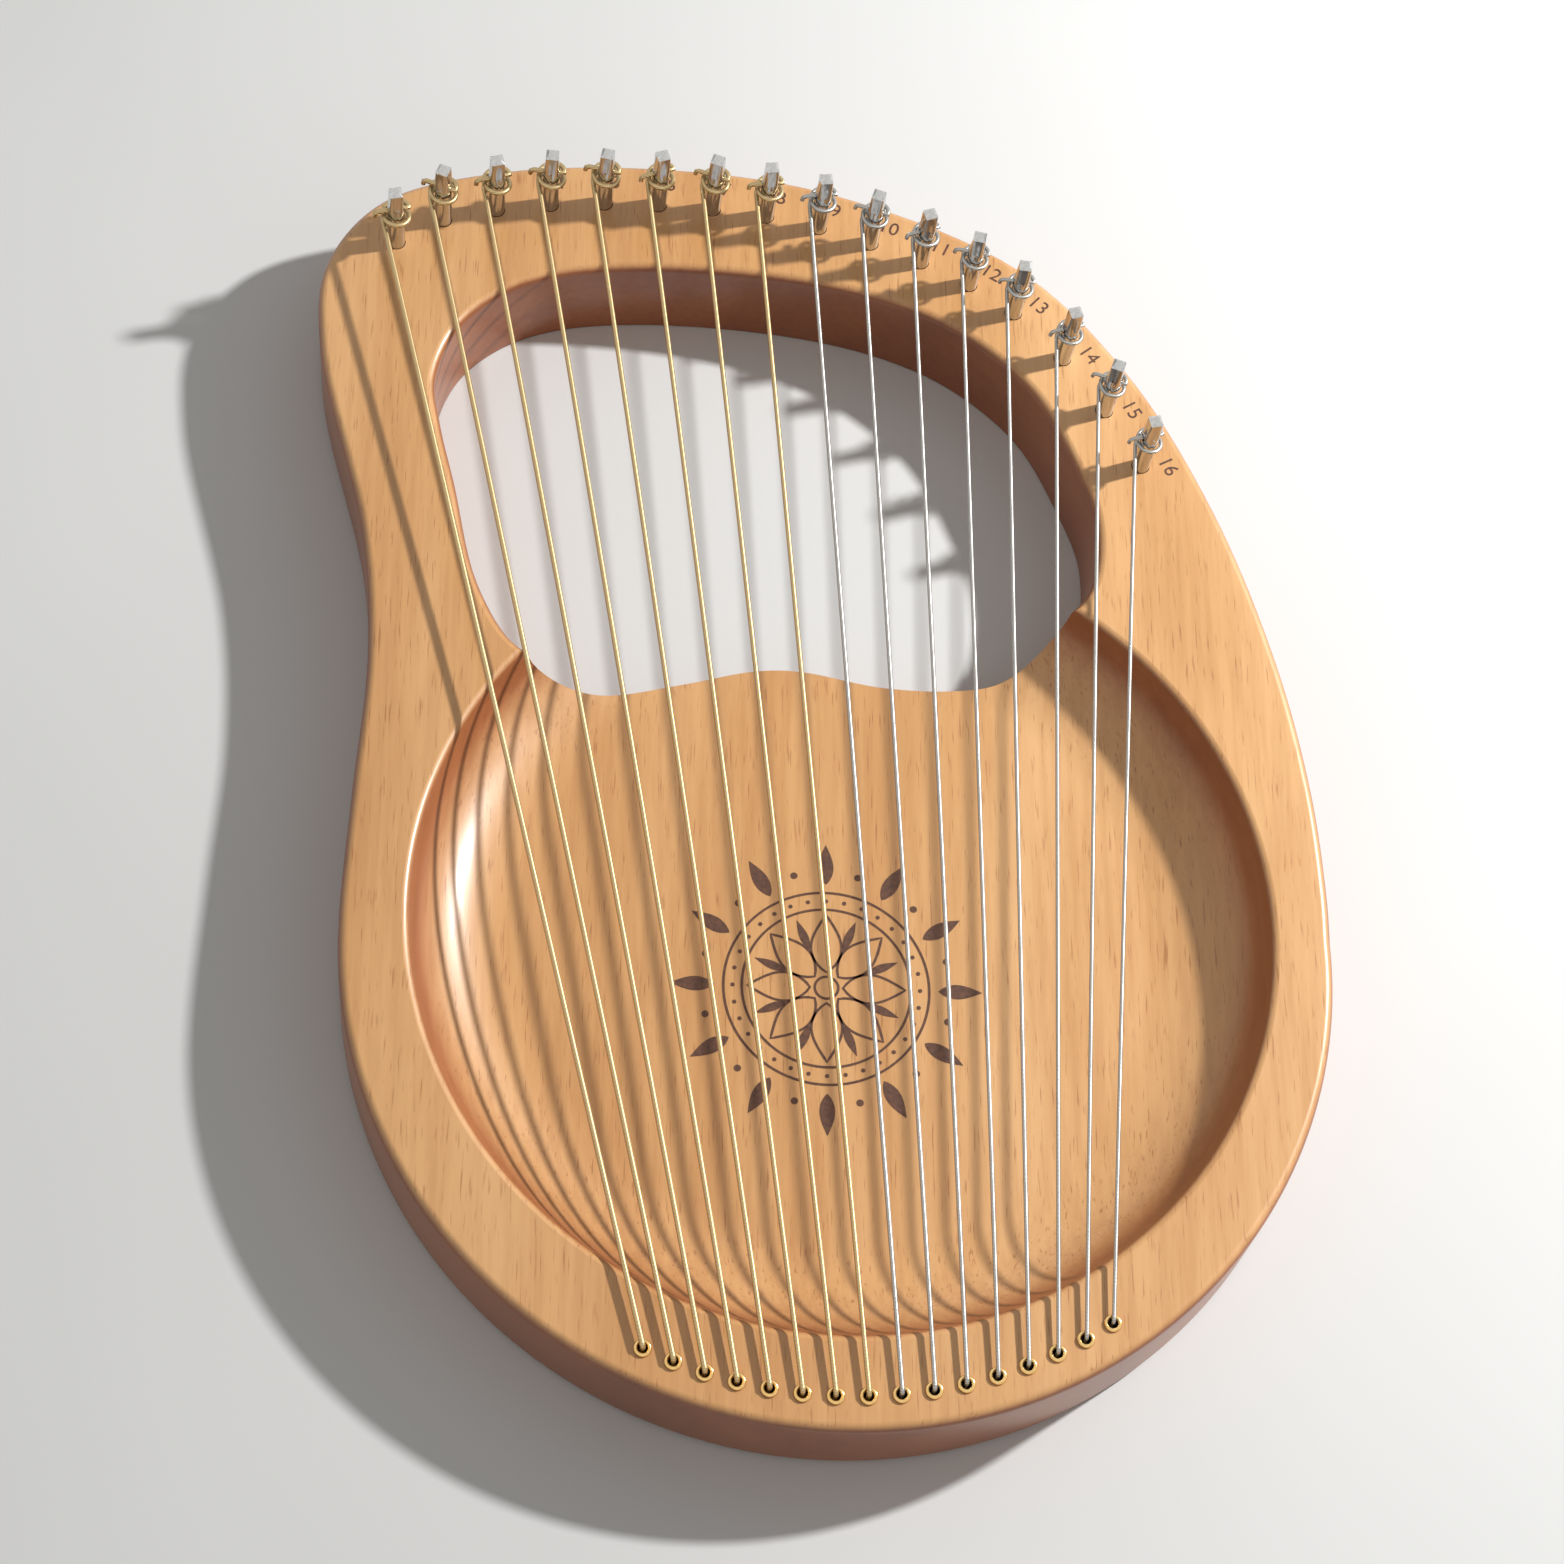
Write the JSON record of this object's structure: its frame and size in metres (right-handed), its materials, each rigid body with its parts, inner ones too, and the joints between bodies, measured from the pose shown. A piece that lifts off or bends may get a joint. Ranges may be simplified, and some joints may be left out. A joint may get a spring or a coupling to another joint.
{
  "type": "lyre harp",
  "caption": "Small lap lyre harp: carved one-piece hardwood board with a round bowl and a hand opening, metal strings and turning tuning pins",
  "frame": {"origin": "middle of the back face", "axes": "+Z out of the playing face, +Y from the bowl to the tuning pins, +X to the player's right in a front view"},
  "size_m": [0.2826, 0.3798, 0.055],
  "materials": {
    "wood": "satin lacquered hardwood, light face and darker reddish sides",
    "nickel": "polished nickel plate",
    "brass": "polished brass",
    "bronze_winding": "bright bronze wound string",
    "silver_winding": "bright silver coloured string"
  },
  "bodies": {
    "harp": {"body": "wood", "string_01": "bronze_winding", "string_02": "bronze_winding", "string_03": "bronze_winding", "string_04": "bronze_winding", "string_05": "bronze_winding", "string_06": "bronze_winding", "string_07": "bronze_winding", "string_08": "bronze_winding", "string_09": "silver_winding", "string_10": "silver_winding", "string_11": "silver_winding", "string_12": "silver_winding", "string_13": "silver_winding", "string_14": "silver_winding", "string_15": "silver_winding", "string_16": "silver_winding", "eyelet_01": "brass", "eyelet_02": "brass", "eyelet_03": "brass", "eyelet_04": "brass", "eyelet_05": "brass", "eyelet_06": "brass", "eyelet_07": "brass", "eyelet_08": "brass", "eyelet_09": "brass", "eyelet_10": "brass", "eyelet_11": "brass", "eyelet_12": "brass", "eyelet_13": "brass", "eyelet_14": "brass", "eyelet_15": "brass", "eyelet_16": "brass"},
    "pin_01": {"tuning_pin_01": "nickel"},
    "pin_02": {"tuning_pin_02": "nickel"},
    "pin_03": {"tuning_pin_03": "nickel"},
    "pin_04": {"tuning_pin_04": "nickel"},
    "pin_05": {"tuning_pin_05": "nickel"},
    "pin_06": {"tuning_pin_06": "nickel"},
    "pin_07": {"tuning_pin_07": "nickel"},
    "pin_08": {"tuning_pin_08": "nickel"},
    "pin_09": {"tuning_pin_09": "nickel"},
    "pin_10": {"tuning_pin_10": "nickel"},
    "pin_11": {"tuning_pin_11": "nickel"},
    "pin_12": {"tuning_pin_12": "nickel"},
    "pin_13": {"tuning_pin_13": "nickel"},
    "pin_14": {"tuning_pin_14": "nickel"},
    "pin_15": {"tuning_pin_15": "nickel"},
    "pin_16": {"tuning_pin_16": "nickel"}
  },
  "joints": [
    {"name": "pin_01_turn", "type": "hinge", "parent": "harp", "child": "pin_01", "pos_m": [-0.11999, 0.15816, 0.03], "axis": [0, 0, -1], "continuous": true},
    {"name": "pin_02_turn", "type": "hinge", "parent": "harp", "child": "pin_02", "pos_m": [-0.10689, 0.16679, 0.03], "axis": [0, 0, -1], "continuous": true},
    {"name": "pin_03_turn", "type": "hinge", "parent": "harp", "child": "pin_03", "pos_m": [-0.09165, 0.17127, 0.03], "axis": [0, 0, -1], "continuous": true},
    {"name": "pin_04_turn", "type": "hinge", "parent": "harp", "child": "pin_04", "pos_m": [-0.07603, 0.17415, 0.03], "axis": [0, 0, -1], "continuous": true},
    {"name": "pin_05_turn", "type": "hinge", "parent": "harp", "child": "pin_05", "pos_m": [-0.06021, 0.17563, 0.03], "axis": [0, 0, -1], "continuous": true},
    {"name": "pin_06_turn", "type": "hinge", "parent": "harp", "child": "pin_06", "pos_m": [-0.04432, 0.17603, 0.03], "axis": [0, 0, -1], "continuous": true},
    {"name": "pin_07_turn", "type": "hinge", "parent": "harp", "child": "pin_07", "pos_m": [-0.02843, 0.17555, 0.03], "axis": [0, 0, -1], "continuous": true},
    {"name": "pin_08_turn", "type": "hinge", "parent": "harp", "child": "pin_08", "pos_m": [-0.01261, 0.17401, 0.03], "axis": [0, 0, -1], "continuous": true},
    {"name": "pin_09_turn", "type": "hinge", "parent": "harp", "child": "pin_09", "pos_m": [0.00298, 0.17095, 0.03], "axis": [0, 0, -1], "continuous": true},
    {"name": "pin_10_turn", "type": "hinge", "parent": "harp", "child": "pin_10", "pos_m": [0.0182, 0.16639, 0.03], "axis": [0, 0, -1], "continuous": true},
    {"name": "pin_11_turn", "type": "hinge", "parent": "harp", "child": "pin_11", "pos_m": [0.03305, 0.16073, 0.03], "axis": [0, 0, -1], "continuous": true},
    {"name": "pin_12_turn", "type": "hinge", "parent": "harp", "child": "pin_12", "pos_m": [0.04726, 0.15367, 0.03], "axis": [0, 0, -1], "continuous": true},
    {"name": "pin_13_turn", "type": "hinge", "parent": "harp", "child": "pin_13", "pos_m": [0.06022, 0.14458, 0.03], "axis": [0, 0, -1], "continuous": true},
    {"name": "pin_14_turn", "type": "hinge", "parent": "harp", "child": "pin_14", "pos_m": [0.0742, 0.12952, 0.03], "axis": [0, 0, -1], "continuous": true},
    {"name": "pin_15_turn", "type": "hinge", "parent": "harp", "child": "pin_15", "pos_m": [0.08581, 0.11252, 0.03], "axis": [0, 0, -1], "continuous": true},
    {"name": "pin_16_turn", "type": "hinge", "parent": "harp", "child": "pin_16", "pos_m": [0.09558, 0.09441, 0.03], "axis": [0, 0, -1], "continuous": true}
  ]
}
